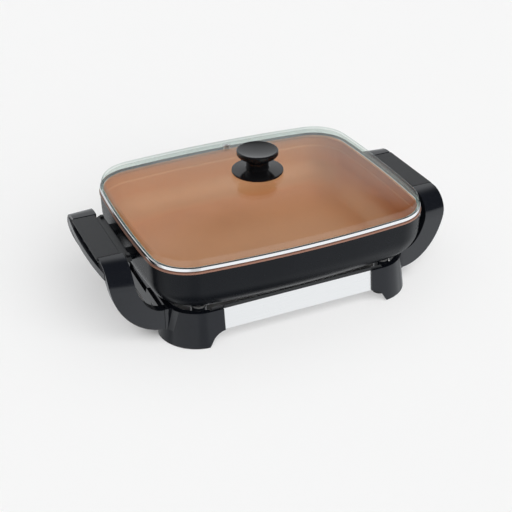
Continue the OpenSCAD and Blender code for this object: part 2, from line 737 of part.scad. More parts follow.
// --- heating element and terminals, carried under the pan ---
coil_x = half_l - 79.5;
coil_y = half_w - 78.3;
coil_bend = 34;
lead_bend = 12;
sheath_end = terminal_lug_x - 2;
module tube_x(from, to, y) {
    translate([from, y, terminal_z]) rotate([0, 90, 0]) cylinder(r = sheath_radius, h = to - from);
}
module tube_y(x, from, to) {
    translate([x, from, terminal_z]) rotate([-90, 0, 0]) cylinder(r = sheath_radius, h = to - from);
}
module tube_bend(x, y, radius, from) {
    translate([x, y, terminal_z]) rotate([0, 0, from]) rotate_extrude(angle = 90)
        translate([radius, 0]) circle(r = sheath_radius);
}
module heating_element() {
    color("#5b5650") {
        tube_y(-coil_x, -coil_y + coil_bend, coil_y - coil_bend);
        for (y = [-1, 1]) scale([1, y, 1]) {
            tube_bend(-coil_x + coil_bend, -coil_y + coil_bend, coil_bend, 180);
            tube_x(-coil_x + coil_bend, coil_x - coil_bend, -coil_y);
            tube_bend(coil_x - coil_bend, -coil_y + coil_bend, coil_bend, 270);
            tube_y(coil_x, -coil_y + coil_bend, -pin_half_spacing - lead_bend);
            tube_bend(coil_x + lead_bend, -pin_half_spacing - lead_bend, lead_bend, 90);
            tube_x(coil_x + lead_bend, sheath_end, -pin_half_spacing);
        }
    }
}
// A pin is thinner where it passes through its insulator.
insulator_length = 5;
pin_neck = pin_radius - 0.4;
pin_from = insulator_length + 0.6;
pin_tip = 1.2;
module terminal_pins() {
    color("#c9b27a") for (y = [-1, 1])
        translate([sheath_end, y * pin_half_spacing, terminal_z]) rotate([0, 90, 0]) {
        cylinder(r = pin_neck, h = pin_from);
        translate([0, 0, pin_from]) cylinder(r = pin_radius, h = pin_length - pin_from - pin_tip);
        translate([0, 0, pin_length - pin_tip])
            cylinder(r1 = pin_radius, r2 = pin_radius - pin_tip, h = pin_tip);
    }
}
module terminal_insulators() {
    color("#e8e4da") for (y = [-1, 1])
        translate([sheath_end, y * pin_half_spacing, terminal_z]) rotate([0, 90, 0])
        difference() {
            cylinder(r = sheath_radius, h = insulator_length);
            translate([0, 0, -1]) cylinder(r = pin_neck + slip, h = insulator_length + 2);
        }
}
sensor_bore = 42;
sensor_to = terminal_lug_x + 10;
sensor_from = sensor_to - sensor_bore - 7;
module sensor_well() {
    color("#b9bcc0") translate([sensor_from, 0, terminal_z]) rotate([0, 90, 0]) difference() {
        cylinder(r = sheath_radius, h = sensor_to - sensor_from);
        translate([0, 0, sensor_to - sensor_from - sensor_bore])
            cylinder(r = sensor_radius, h = sensor_bore + 1);
    }
}
guard_from = terminal_lug_x + fit;
guard_depth = 27;
guard_to = terminal_lug_x + guard_depth;
guard_half = 31;
guard_low = 38.6;
guard_high = 66;
guard_wall = 2.2;
module probe_guard() {
    color("#24262a") difference() {
        translate([guard_from, -guard_half, guard_low])
            cube([guard_to - guard_from, 2 * guard_half, guard_high - guard_low]);
        translate([guard_from + guard_wall, -guard_half + guard_wall, guard_low + guard_wall])
            cube([beyond, 2 * (guard_half - guard_wall), guard_high - guard_low - 2 * guard_wall]);
        for (y = [-pin_half_spacing, 0, pin_half_spacing]) translate([guard_from - 1, y, terminal_z])
            rotate([0, 90, 0]) cylinder(r = sheath_radius + 0.2, h = 6);
        for (y = [-1, 1]) translate([guard_from - 1, y * guard_screw_y, guard_screw_z]) rotate([0, 90, 0])
            cylinder(r = screw_radius + 0.2, h = 6);
    }
}
module guard_screws() {
    color("#8d9094") for (y = [-1, 1]) translate([guard_from + guard_wall, y * guard_screw_y, guard_screw_z])
        rotate([0, -90, 0]) screw(guard_wall + 6);
}

// --- lid ---
dome_shares = [0.88, 0.78, 0.66, 0.46, 0.25];
glass_lean = 2;
// The glass's section outside, from its edge up to the top of the shoulder.
function glass_wall(layer) =
    let (r = shoulder_radius - layer, c = glass_edge + glass_lean + shoulder_radius) concat(
    [[glass_edge + layer, glass_bottom], [glass_edge + layer, rim_top]],
    [for (k = [0 : 4]) let (t = 78 * k / 4) [c - r * cos(t), shoulder_z - shoulder_radius + r * sin(t)]]);
function dome_z(layer, share) = let (edge = glass_wall(layer)[6].y)
    edge + (glass_top - layer - edge) * (1 - pow((share - dome_shares[4]) / (1 - dome_shares[4]), 2));
// How far towards the middle a point of the outline goes: the dome's rings turn into ellipses.
function dome_share(p, share) =
    let (e = 1 / norm([p.x / half_l, p.y / half_w])) share * (e + (1 - e) * share);
function dome(layer) = [for (s = dome_shares)
    [for (p = outline(glass_wall(layer)[6].x))
        [p.x * dome_share(p, s), p.y * dome_share(p, s), dome_z(layer, s)]]];
module lid_glass() {
    color([0.78, 0.88, 0.84, 0.35]) difference() {
        skin(concat(reverse(dome(glass)), rings(reverse(glass_wall(glass))), rings(glass_wall(0)), dome(0)));
        translate([0, 0, glass_top - 20]) cylinder(r = knob_hole, h = 40);
        at_vent() translate([0, 0, -20]) cylinder(r = vent_hole, h = 40);
    }
}
knob_hole = 3.4;
vent_hole = 4;

module lid_rim() {
    in_face = glass_edge + glass;
    color("#dcdee0") skin(rings([
        [rim_setback + 0.9, rim_bottom], [rim_setback + 0.2, rim_bottom + 0.5],
        [rim_setback, rim_bottom + 1.8], [rim_setback, rim_top - 2.4], [rim_setback + 0.3, rim_top - 0.7],
        [glass_edge, rim_top],
        [glass_edge, glass_bottom], [in_face, glass_bottom],
        [in_face, rim_top - 1.8], [in_face + rim_steel, rim_top - 1.8],
        [in_face + rim_steel, rim_bottom + 0.7], [in_face + rim_steel - 0.7, rim_bottom]]), loop = true);
}

vent_y = half_w - vent_inset;
vent_flare = 6;
vent_clinch = 5;     // radius of the lip that is rolled over under the glass
vent_edge = [0, half_w - glass_wall(0)[6].x];
vent_outer = [vent_edge.y * dome_share(vent_edge, dome_shares[1]), dome_z(0, dome_shares[1])];
vent_inner = [vent_edge.y * dome_share(vent_edge, dome_shares[2]), dome_z(0, dome_shares[2])];
vent_tilt = atan2(vent_inner.y - vent_outer.y, vent_outer.x - vent_inner.x);
vent_z = vent_outer.y + (vent_outer.x - vent_y) * tan(vent_tilt);
module at_vent() { translate([0, vent_y, vent_z]) rotate([-vent_tilt, 0, 0]) children(); }
module steam_vent() {
    color("#b4b7ba") at_vent() rotate_extrude()
        polygon([[2.2, -glass - 0.7], [2.9, -glass - 1], [vent_clinch, -glass - 0.7],
                 [vent_clinch, -glass - fit], [vent_hole - 0.1, -glass - fit], [vent_hole - 0.1, 0.05],
                 [vent_flare, 0.05], [vent_flare, 0.5], [vent_flare - 0.9, 1.1], [2.9, 0.9], [2.2, 0.4]]);
}

gasket_radius = flange_radius - 5;
skirt_low = fit - gasket_thickness;    // the flange's edge hangs round the gasket
module knob_flange() {
    color("#1d1e20") translate([0, 0, flange_bottom]) rotate_extrude()
        polygon([[knob_hole, 0], [gasket_radius + fit, 0], [gasket_radius + fit, skirt_low],
                 [flange_radius - 0.6, skirt_low], [flange_radius, skirt_low + 0.7],
                 [flange_radius, flange_edge - 0.5], [flange_radius - 0.8, flange_edge],
                 [neck_radius + 3, flange_edge + 1.6],
                 [neck_radius + 0.5, flange_edge + 2.6], [neck_radius + 0.5, flange_edge + 0.6],
                 [knob_hole, flange_edge + 0.6]]);
}
neck_bottom = flange_bottom + flange_edge + 0.7;
knob_top = flange_top + knob_height;
knob_disc = 8;         // height of the knob's top at its edge
knob_dish = 2.6;       // how far its middle is dished
knob_cove = 7;         // radius between its neck and its top
module knob_grip() {
    edge = knob_top - 0.6;
    well = knob_radius - 3;
    under = knob_top - knob_disc;
    color("#222326") difference() {
        rotate_extrude() polygon(concat(
            [[0, neck_bottom], [neck_radius, neck_bottom], [neck_radius, neck_bottom + 6]],
            [for (k = [0 : 5]) let (t = 90 * k / 5)
                [neck_radius + knob_cove * (1 - cos(t)), under - 1.5 - knob_cove * (1 - sin(t))]],
            [[knob_radius - 1.6, under], [knob_radius, under + 2], [knob_radius, knob_top - 1.4],
             [knob_radius - 0.6, knob_top - 0.4], [knob_radius - 1.8, knob_top], [well, edge]],
            [for (k = [1 : 5]) let (t = 1 - k / 5) [well * t, edge - knob_dish * (1 - t * t)]]));
        translate([0, 0, neck_bottom - 1]) cylinder(r = knob_screw_radius + slip, h = 15);
        // the notch in the edge, toward the front
        rotate([0, 0, -114.6]) translate([knob_radius - 1.4, -2.6, under - 1]) cube([4, 5.2, 4.6]);
    }
}
module knob_gasket() {
    color("#5e6064") translate([0, 0, glass_top]) difference() {
        cylinder(r = gasket_radius, h = gasket_thickness);
        translate([0, 0, -1]) cylinder(r = knob_hole, h = gasket_thickness + 2);
    }
}
washer_radius = 9;
knob_screw_radius = 2.5;
module knob_washer() {
    color("#b4b7ba") translate([0, 0, glass_top - glass - 1.2]) difference() {
        cylinder(r = washer_radius, h = 1.2);
        translate([0, 0, -1]) cylinder(r = knob_hole - 0.6, h = 4);
    }
}
module knob_screw() {
    color("#b4b7ba") translate([0, 0, glass_top - glass - 1.2]) {
        translate([0, 0, -2.4]) difference() {
            cylinder(r = 5, h = 2.4);
            for (turn = [0, 90]) rotate(turn) translate([-3, -0.5, -eps]) cube([6, 1, 1.4]);
        }
        cylinder(r = knob_screw_radius, h = glass + 1.2 + neck_bottom - glass_top + 12);
    }
}

base_end_left();
base_end_right();
front_rail();
rear_rail();
front_band();
rear_band();
rail_screws();
rubber_feet();
rest_pads();
handle_frame_left();
handle_frame_right();
handle_screws();
pan_shell();
ceramic_coating();
handle_tray_left();
handle_tray_right();
grip_plate_left();
grip_plate_right();
tray_screws();
grip_screws();
heating_element();
terminal_pins();
terminal_insulators();
sensor_well();
probe_guard();
guard_screws();
lid_glass();
lid_rim();
steam_vent();
knob_flange();
knob_grip();
knob_gasket();
knob_washer();
knob_screw();
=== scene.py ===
"""The looks of an electric skillet: a base with loop handles, a lift-out pan and a glass lid.

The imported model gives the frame. Plain fittings keep their solids and get a finish. What
shows its shape most is made again here, in the same place, with round edges or finer curves:
the pan, its lining, the glass, its rim, the knob, the mouldings, the trays and the grips. The
glass and the pan's lugs have no holes here: the eyelet, the knob and the screws cover them.
"""

import logging
import math
from collections.abc import Callable, Sequence
from dataclasses import dataclass, field
from enum import Enum

import bmesh
import bpy
from mathutils import Matrix, Vector

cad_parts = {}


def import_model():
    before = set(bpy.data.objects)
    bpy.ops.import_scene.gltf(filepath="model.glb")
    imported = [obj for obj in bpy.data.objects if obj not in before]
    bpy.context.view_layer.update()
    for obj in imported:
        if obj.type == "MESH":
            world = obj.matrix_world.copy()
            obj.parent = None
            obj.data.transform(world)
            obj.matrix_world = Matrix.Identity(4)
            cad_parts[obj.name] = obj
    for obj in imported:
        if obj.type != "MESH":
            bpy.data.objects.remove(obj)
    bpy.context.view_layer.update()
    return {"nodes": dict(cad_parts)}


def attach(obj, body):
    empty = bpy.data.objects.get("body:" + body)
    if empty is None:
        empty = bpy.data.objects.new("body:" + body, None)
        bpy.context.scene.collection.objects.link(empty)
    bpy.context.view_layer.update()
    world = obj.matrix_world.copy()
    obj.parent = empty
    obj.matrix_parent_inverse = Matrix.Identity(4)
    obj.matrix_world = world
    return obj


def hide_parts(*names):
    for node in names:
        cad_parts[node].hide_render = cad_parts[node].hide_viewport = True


log = logging.getLogger("skillet")
Colour = tuple[float, float, float]
Stretch = tuple[float, float, float]
Section = list[tuple[float, float]]
MM = 0.001
EVEN: Stretch = (1.0, 1.0, 1.0)


class Body(Enum):
    """The three bodies of the skillet."""

    BASE = "base"
    PAN = "pan"
    LID = "lid"


# ---------------------------------------------------------------- shader expressions


class Value:
    """A number that varies over a surface, with Python's operators for its maths."""

    def __init__(self, graph: "Graph", socket: bpy.types.NodeSocket) -> None:
        """Wraps an output socket.

        Args:
            graph: The material's graph.
            socket: The output that gives the number.
        """
        self.graph = graph
        self.socket = socket

    def _maths(self, operation: str, a: "Value | float", b: "Value | float") -> "Value":
        """Adds a Math node.

        Args:
            operation: The Math node's operation.
            a: The first operand.
            b: The second operand.

        Returns:
            The result as a Value.
        """
        node = self.graph.node("ShaderNodeMath", {"operation": operation}, {0: a, 1: b})
        return Value(self.graph, node.outputs[0])

    def __add__(self, other: "Value | float") -> "Value":
        """Adds."""
        return self._maths("ADD", self, other)

    def __radd__(self, other: float) -> "Value":
        """Adds, with the number first."""
        return self._maths("ADD", other, self)

    def __sub__(self, other: "Value | float") -> "Value":
        """Subtracts."""
        return self._maths("SUBTRACT", self, other)

    def __rsub__(self, other: float) -> "Value":
        """Subtracts from a number."""
        return self._maths("SUBTRACT", other, self)

    def __mul__(self, other: "Value | float") -> "Value":
        """Multiplies."""
        return self._maths("MULTIPLY", self, other)

    def __rmul__(self, other: float) -> "Value":
        """Multiplies, with the number first."""
        return self._maths("MULTIPLY", other, self)

    def __pow__(self, power: float) -> "Value":
        """Raises to a power."""
        return self._maths("POWER", self, power)

    def size(self) -> "Value":
        """Drops the sign."""
        return self._maths("ABSOLUTE", self, 0.0)

    def sway(self, width: float) -> "Value":
        """Turns a number between 0 and 1 into one that swings about 0, over a width."""
        return (self - 0.5) * width

    def between(self, low: float, high: float) -> "Value":
        """Rises smoothly from 0 at low to 1 at high.

        Args:
            low: Where the result is 0.
            high: Where the result is 1; it may be the smaller of the two.

        Returns:
            The share as a Value.
        """
        settings = {"interpolation_type": "SMOOTHSTEP"}
        ends = {"Value": self, "From Min": min(low, high), "From Max": max(low, high)}
        if low > high:
            ends |= {"To Min": 1.0, "To Max": 0.0}
        return Value(self.graph, self.graph.node("ShaderNodeMapRange", settings, ends).outputs[0])


class Graph:
    """The node tree of one material, around its Principled shader."""

    def __init__(self, name: str) -> None:
        """Starts an empty material.

        Args:
            name: The material's name.
        """
        self.material = bpy.data.materials.new(name)
        self.material.use_nodes = True
        self.tree = self.material.node_tree
        self.tree.nodes.clear()
        self.output = self.tree.nodes.new("ShaderNodeOutputMaterial")
        self.shader = self.tree.nodes.new("ShaderNodeBsdfPrincipled")
        self.feed(self.output.inputs["Surface"], self.shader.outputs[0])
        self._coordinates: bpy.types.NodeSocket | None = None

    def feed(self, socket: bpy.types.NodeSocket, value: object) -> None:
        """Links or sets one input.

        Args:
            socket: The input.
            value: A number, vector, colour, Value or output socket.
        """
        if isinstance(value, Value):
            value = value.socket
        if isinstance(value, bpy.types.NodeSocket):
            self.tree.links.new(value, socket)
        elif socket.type == "RGBA":
            socket.default_value = (*value, 1.0)
        else:
            socket.default_value = value

    def node(
        self,
        kind: str,
        settings: dict[str, object] | None = None,
        inputs: dict[str | int, object] | None = None,
    ) -> bpy.types.Node:
        """Adds any node.

        Args:
            kind: The node's type.
            settings: Properties that are set before its inputs, such as an operation.
            inputs: What its inputs get, by name or number.

        Returns:
            The node.
        """
        node = self.tree.nodes.new(kind)
        for key, value in (settings or {}).items():
            setattr(node, key, value)
        for key, value in (inputs or {}).items():
            self.feed(node.inputs[key], value)
        return node

    def place(self, stretch: Stretch = EVEN) -> bpy.types.NodeSocket:
        """Object coordinates in metres, stretched.

        Args:
            stretch: The scale along each axis.

        Returns:
            A vector socket.
        """
        if self._coordinates is None:
            self._coordinates = self.node("ShaderNodeTexCoord").outputs["Object"]
        if stretch == EVEN:
            return self._coordinates
        inputs = {"Vector": self._coordinates, "Scale": stretch}
        return self.node("ShaderNodeMapping", {}, inputs).outputs[0]

    def axes(self, stretch: Stretch = EVEN) -> list[Value]:
        """Object coordinates as three numbers.

        Args:
            stretch: The scale along each axis.

        Returns:
            X, Y and Z as Values.
        """
        split = self.node("ShaderNodeSeparateXYZ", {}, {0: self.place(stretch)})
        return [Value(self, socket) for socket in split.outputs]

    def noise(
        self, scale: float, detail: float = 2.0, stretch: Stretch = EVEN, rough: float = 0.5
    ) -> Value:
        """Noise between 0 and 1.

        Args:
            scale: Features per metre.
            detail: Octaves of finer noise.
            stretch: Extra scale along each axis.
            rough: The strength of each finer octave.

        Returns:
            The noise as a Value.
        """
        inputs = {"Vector": self.place(stretch), "Scale": scale, "Detail": detail, "Roughness": rough}
        return Value(self, self.node("ShaderNodeTexNoise", {}, inputs).outputs[0])

    def cells(self, scale: float) -> Value:
        """Distance to the nearest of scattered points.

        Args:
            scale: Cells per metre.

        Returns:
            The distance as a Value.
        """
        inputs = {"Vector": self.place(), "Scale": scale}
        return Value(self, self.node("ShaderNodeTexVoronoi", {}, inputs).outputs["Distance"])

    def blend(self, factor: Value, low: Colour, high: Colour) -> bpy.types.NodeSocket:
        """A colour between two.

        Args:
            factor: 0 for low, 1 for high.
            low: The first colour.
            high: The second colour.

        Returns:
            A colour socket.
        """
        return self.node("ShaderNodeMix", {"data_type": "RGBA"}, {0: factor, 6: low, 7: high}).outputs[2]

    def bump(self, height: Value, depth: float) -> None:
        """Feeds the shader's normal from a height.

        Args:
            height: The height, 0 to 1.
            depth: The height of 1, in metres.
        """
        node = self.node("ShaderNodeBump", {}, {"Height": height, "Distance": depth})
        self.feed(self.shader.inputs["Normal"], node.outputs[0])

    def set(self, **inputs: object) -> None:
        """Sets or links the shader's inputs, with underscores for spaces.

        Args:
            **inputs: Numbers, colours, Values or sockets.
        """
        for key, value in inputs.items():
            self.feed(self.shader.inputs[key.replace("_", " ")], value)


# ---------------------------------------------------------------- finishes


@dataclass(frozen=True)
class Finish:
    """A finish of the skillet, with the name of its material."""

    name: str

    def material(self) -> bpy.types.Material:
        """Builds the material.

        Returns:
            The material.
        """
        g = Graph(self.name)
        self.paint(g)
        return g.material

    def paint(self, g: Graph) -> None:
        """Adds the finish's nodes.

        Args:
            g: The material's graph.
        """
        raise NotImplementedError


@dataclass(frozen=True)
class Moulding(Finish):
    """Moulded plastic with a skin that is never quite even."""

    dark: Colour
    light: Colour
    roughness: float
    spread: float = 0.05
    grain: float = 260.0
    grain_depth: float = 0.00002
    grain_share: float = 0.4
    clouds: float = 24.0
    specular: float = 0.5

    def paint(self, g: Graph) -> None:
        """Clouds the tone and the gloss, and adds a fine grain.

        Args:
            g: The material's graph.
        """
        cloud = g.noise(self.clouds, 3)
        skin = g.noise(self.grain)
        g.set(
            Base_Color=g.blend(cloud, self.dark, self.light),
            Roughness=self.roughness + cloud.sway(self.spread) + skin.sway(self.spread * self.grain_share),
            Specular_IOR_Level=self.specular,
        )
        g.bump(skin, self.grain_depth)


@dataclass(frozen=True)
class Texture(Finish):
    """Matte plastic with a fine eroded texture."""

    dark: Colour
    light: Colour
    roughness: float = 0.5
    pitch: float = 1500.0
    depth: float = 0.00006
    clouds: float = 30.0

    def paint(self, g: Graph) -> None:
        """Pits the plastic and clouds its tone.

        Args:
            g: The material's graph.
        """
        pits = g.cells(self.pitch)
        cloud = g.noise(self.clouds, 3)
        g.set(
            Base_Color=g.blend(cloud * 0.6 + pits * 0.4, self.dark, self.light),
            Roughness=self.roughness + pits.sway(0.12) + cloud.sway(0.06),
        )
        g.bump(pits + g.noise(self.pitch * 2, 1) * 0.5, self.depth)


@dataclass(frozen=True)
class Steel(Finish):
    """Steel with a fine grain, which is drawn out along X where it is brushed."""

    dark: Colour
    light: Colour
    roughness: float
    grain: Stretch = (0.02, 1.0, 1.0)
    lines: float = 1400.0
    depth: float = 0.000006
    hazes: float = 18.0

    def paint(self, g: Graph) -> None:
        """Draws fine lines in a haze.

        Args:
            g: The material's graph.
        """
        lines = g.noise(self.lines, 3, self.grain, 0.6)
        haze = g.noise(self.hazes)
        g.set(
            Base_Color=g.blend(lines * 0.7 + haze * 0.3, self.dark, self.light),
            Metallic=1.0,
            Roughness=self.roughness + lines.sway(0.16) + haze.sway(0.06),
        )
        g.bump(lines, self.depth)


@dataclass(frozen=True)
class Enamel(Finish):
    """Gloss paint baked on cast metal, with a faint orange peel."""

    dark: Colour
    light: Colour
    roughness: float = 0.27
    specular: float = 0.17
    peel: float = 170.0
    peel_depth: float = 0.00003
    clouds: float = 14.0

    def paint(self, g: Graph) -> None:
        """Clouds the tone and the gloss, and adds the peel.

        Args:
            g: The material's graph.
        """
        peel = g.noise(self.peel)
        cloud = g.noise(self.clouds, 3)
        g.set(
            Base_Color=g.blend(cloud, self.dark, self.light),
            Roughness=self.roughness + cloud.sway(0.06) + peel.sway(0.03),
            Specular_IOR_Level=self.specular,
        )
        g.bump(peel, self.peel_depth)


@dataclass(frozen=True)
class CopperCeramic(Finish):
    """Sprayed ceramic coating with copper-coloured flakes in it."""

    dark: Colour = (0.50, 0.20, 0.088)
    light: Colour = (0.74, 0.35, 0.17)
    roughness: float = 0.36
    flakes: float = 1100.0
    spray: float = 420.0
    spray_depth: float = 0.00003
    clouds: float = 9.0
    coat: float = 0.2
    coat_roughness: float = 0.2

    def paint(self, g: Graph) -> None:
        """Mixes the flakes, the spray's grain and broad clouds.

        Args:
            g: The material's graph.
        """
        flakes = g.cells(self.flakes)
        spray = g.noise(self.spray, 3)
        cloud = g.noise(self.clouds, 3)
        tone = cloud * 0.55 + spray * 0.3 + flakes * 0.3
        g.set(
            Base_Color=g.blend(tone, self.dark, self.light),
            Metallic=0.1 + flakes * 0.3,
            Roughness=self.roughness + spray.sway(0.14) + cloud.sway(0.08),
            Coat_Weight=self.coat,
            Coat_Roughness=self.coat_roughness,
        )
        g.bump(spray, self.spray_depth)


@dataclass(frozen=True)
class ClearGlass(Finish):
    """Clear tempered glass: see-through, greener where it is seen edge on, with painted shade that turns
    it almost black at its silhouette, and glossy.
    """

    clear: Colour = (0.955, 0.975, 0.965)
    edge_on: Colour = (0.72, 0.82, 0.77)
    painted_dark_edge: Colour = (0.07, 0.11, 0.09)
    straight_on: float = 0.03
    grazing: float = 0.5
    hazes: float = 16.0

    def paint(self, g: Graph) -> None:
        """Tints what shows through by the angle of view, with painted shade near the silhouette, under a
        mirror gloss.

        Args:
            g: The material's graph.
        """
        haze = g.noise(self.hazes, 3)
        facing = Value(g, g.node("ShaderNodeLayerWeight", {}, {"Blend": 0.5}).outputs["Facing"])
        clear, edge_on, painted_dark_edge = (
            g.node("ShaderNodeBsdfTransparent", {}, {"Color": colour}).outputs[0]
            for colour in (self.clear, self.edge_on, self.painted_dark_edge)
        )
        side = g.node("ShaderNodeMixShader", {}, {0: facing**4.0, 1: clear, 2: edge_on})
        # Painted shade: towards the silhouette what shows through turns almost black, standing in for the
        # dark lines that refraction draws along the glass's edges.
        body = g.node("ShaderNodeMixShader", {}, {0: facing**9.0, 1: side.outputs[0], 2: painted_dark_edge})
        g.set(Base_Color=(1.0, 1.0, 1.0), Metallic=1.0, Roughness=0.02 + haze * 0.03)
        gloss = facing**5.0 * self.grazing + self.straight_on
        whole = g.node("ShaderNodeMixShader", {}, {0: gloss, 1: body.outputs[0], 2: g.shader.outputs[0]})
        g.feed(g.output.inputs["Surface"], whole.outputs[0])


@dataclass(frozen=True)
class Soft(Finish):
    """Rubber or silicone with a dry, faintly dusty skin."""

    dark: Colour
    light: Colour
    roughness: float = 0.7
    dust: float = 90.0
    skin: float = 1500.0
    skin_depth: float = 0.00003

    def paint(self, g: Graph) -> None:
        """Dusts the skin and roughens it finely.

        Args:
            g: The material's graph.
        """
        dust = g.noise(self.dust, 4)
        g.set(Base_Color=g.blend(dust, self.dark, self.light), Roughness=self.roughness + dust.sway(0.15))
        g.bump(g.noise(self.skin), self.skin_depth)


@dataclass(frozen=True)
class Heated(Finish):
    """Metal or ceramic that heat has darkened in patches."""

    dark: Colour
    light: Colour
    roughness: float = 0.4
    metallic: float = 1.0
    patches: float = 60.0
    drawn: float = 900.0
    drawn_along: Stretch = (0.1, 1.0, 1.0)
    drawn_depth: float = 0.00001

    def paint(self, g: Graph) -> None:
        """Darkens patches over faint lines along X.

        Args:
            g: The material's graph.
        """
        patches = g.noise(self.patches, 4)
        drawn = g.noise(self.drawn, 2, self.drawn_along)
        g.set(
            Base_Color=g.blend(patches, self.dark, self.light),
            Metallic=self.metallic,
            Roughness=self.roughness + patches.sway(0.2) + drawn.sway(0.1),
        )
        g.bump(drawn, self.drawn_depth)


class Finishes:
    """Every finish of the skillet; each becomes a material once, at its first use."""

    def __init__(self) -> None:
        """Lists the finishes."""
        black, sheen = (0.0035, 0.0042, 0.0062), (0.006, 0.0072, 0.0105)
        self.gloss = Moulding("gloss_black_plastic", black, sheen, 0.14, specular=0.36)
        self.arm = Moulding("gloss_black_arm", black, sheen, 0.17, specular=0.62)
        self.knob = Moulding("gloss_black_knob", (0.003, 0.003, 0.0034), (0.005, 0.005, 0.0055), 0.1)
        self.satin = Moulding(
            "satin_black_plastic",
            (0.005, 0.0055, 0.006),
            (0.009, 0.0095, 0.011),
            0.36,
            spread=0.08,
            grain=700,
        )
        self.grip = Texture("matte_grip_plastic", (0.013, 0.0135, 0.015), (0.025, 0.026, 0.028))
        self.enamel = Enamel("gloss_black_enamel", (0.0025, 0.003, 0.0045), (0.0045, 0.0055, 0.0075))
        self.copper = CopperCeramic("copper_ceramic")
        self.lip = CopperCeramic("copper_ceramic_lip", (0.17, 0.075, 0.048), (0.29, 0.145, 0.10))
        self.band = Steel("brushed_band_steel", (0.84, 0.84, 0.835), (0.97, 0.965, 0.955), 0.3)
        self.rim = Steel(
            "polished_rim_steel",
            (0.86, 0.865, 0.87),
            (0.96, 0.96, 0.96),
            0.11,
            grain=(0.2, 0.2, 1.0),
            lines=900,
            depth=0.000002,
        )
        self.eyelet = Steel("eyelet_steel", (0.78, 0.78, 0.78), (0.93, 0.93, 0.92), 0.42, EVEN, 900)
        self.zinc = Steel("zinc_plated_steel", (0.42, 0.42, 0.43), (0.6, 0.6, 0.6), 0.36, EVEN, 900)
        self.glass = ClearGlass("lid_glass_clear")
        self.foot = Soft("foot_rubber", (0.012, 0.012, 0.012), (0.035, 0.034, 0.033))
        self.pad = Soft("silicone_pad", (0.09, 0.09, 0.09), (0.15, 0.15, 0.15), 0.6)
        self.sheath = Heated("heated_sheath_steel", (0.10, 0.075, 0.055), (0.26, 0.235, 0.21))
        self.brass = Heated("pin_brass", (0.50, 0.40, 0.19), (0.68, 0.57, 0.31), 0.3)
        self.insulator = Heated("insulator_ceramic", (0.60, 0.57, 0.50), (0.74, 0.72, 0.66), 0.55, 0.0)
        self._made: dict[str, bpy.types.Material] = {}

    def of(self, finish: Finish) -> bpy.types.Material:
        """Gives a finish's material, built at its first use.

        Args:
            finish: One of this object's finishes.

        Returns:
            The material.
        """
        if finish.name not in self._made:
            self._made[finish.name] = finish.material()
        return self._made[finish.name]


# ---------------------------------------------------------------- shapes


@dataclass(frozen=True)
class Outline:
    """The pan's outline: four corner arcs between four long, shallow arcs, in millimetres."""

    half_length: float = 197.5
    half_width: float = 156.3
    corner: float = 57.5
    side_bow: float = 6.6
    end_bow: float = 3.0
    end_steps: int = 6
    corner_steps: int = 18
    side_steps: int = 8

    @staticmethod
    def _arc(
        centre: tuple[float, float], radius: float, first: float, last: float, steps: int
    ) -> list[Vector]:
        """An arc without its last point.

        Args:
            centre: Its centre.
            radius: Its radius.
            first: The angle that it starts at.
            last: The angle that it stops before.
            steps: How many points it has.

        Returns:
            Points in the plane, in millimetres.
        """
        x, y = centre
        angles = (first + (last - first) * k / steps for k in range(steps))
        return [Vector((x + radius * math.cos(t), y + radius * math.sin(t))) for t in angles]

    def quarter(self, inset: float, growth: float = 0.0) -> list[Vector]:
        """A quarter of the outline, from the +X side round to the +Y side.

        Args:
            inset: How far the outline is moved in.
            growth: How much rounder its corners are.

        Returns:
            Points in the plane, in millimetres.
        """
        a, b, r = self.half_length, self.half_width, self.corner + growth
        cx, cy = a - r - self.end_bow, b - r - self.side_bow
        side = (cx**2 + (r + self.side_bow) ** 2 - r**2) / (2 * self.side_bow)
        end = (cy**2 + (r + self.end_bow) ** 2 - r**2) / (2 * self.end_bow)
        start = math.atan2(cy, cx - (a - end))
        stop = math.atan2(cy - (b - side), cx)
        return (
            self._arc((a - end, 0), end - inset, 0, start, self.end_steps)
            + self._arc((cx, cy), r - inset, start, stop, self.corner_steps)
            + self._arc((0, b - side), side - inset, stop, math.pi / 2, self.side_steps)
            + [Vector((0, b - inset))]
        )

    def points(self, inset: float, growth: float = 0.0) -> list[Vector]:
        """The whole outline, counter-clockwise seen from above.

        Args:
            inset: How far the outline is moved in.
            growth: How much rounder its corners are.

        Returns:
            Points in the plane, in millimetres.
        """
        q = self.quarter(inset, growth)
        up, down = q[:-1], q[:0:-1]
        return (
            up
            + [Vector((-p.x, p.y)) for p in down]
            + [Vector((-p.x, -p.y)) for p in up]
            + [Vector((p.x, -p.y)) for p in down]
        )

    def ring(self, inset: float, height: float, share: float = 1.0, growth: float = 0.0) -> list[Vector]:
        """A ring of the outline at a height, drawn towards the middle as an ellipse.

        Args:
            inset: How far the outline is moved in.
            height: The ring's height.
            share: 1 for the outline itself, and less for a ring nearer the middle.
            growth: How much rounder its corners are.

        Returns:
            Points in space, in metres.
        """
        ring = []
        for p in self.points(inset, growth):
            to_ellipse = 1 / math.hypot(p.x / self.half_length, p.y / self.half_width)
            scale = share * (to_ellipse + (1 - to_ellipse) * share) if share < 1 else 1.0
            ring.append(Vector((p.x * scale, p.y * scale, height)) * MM)
        return ring


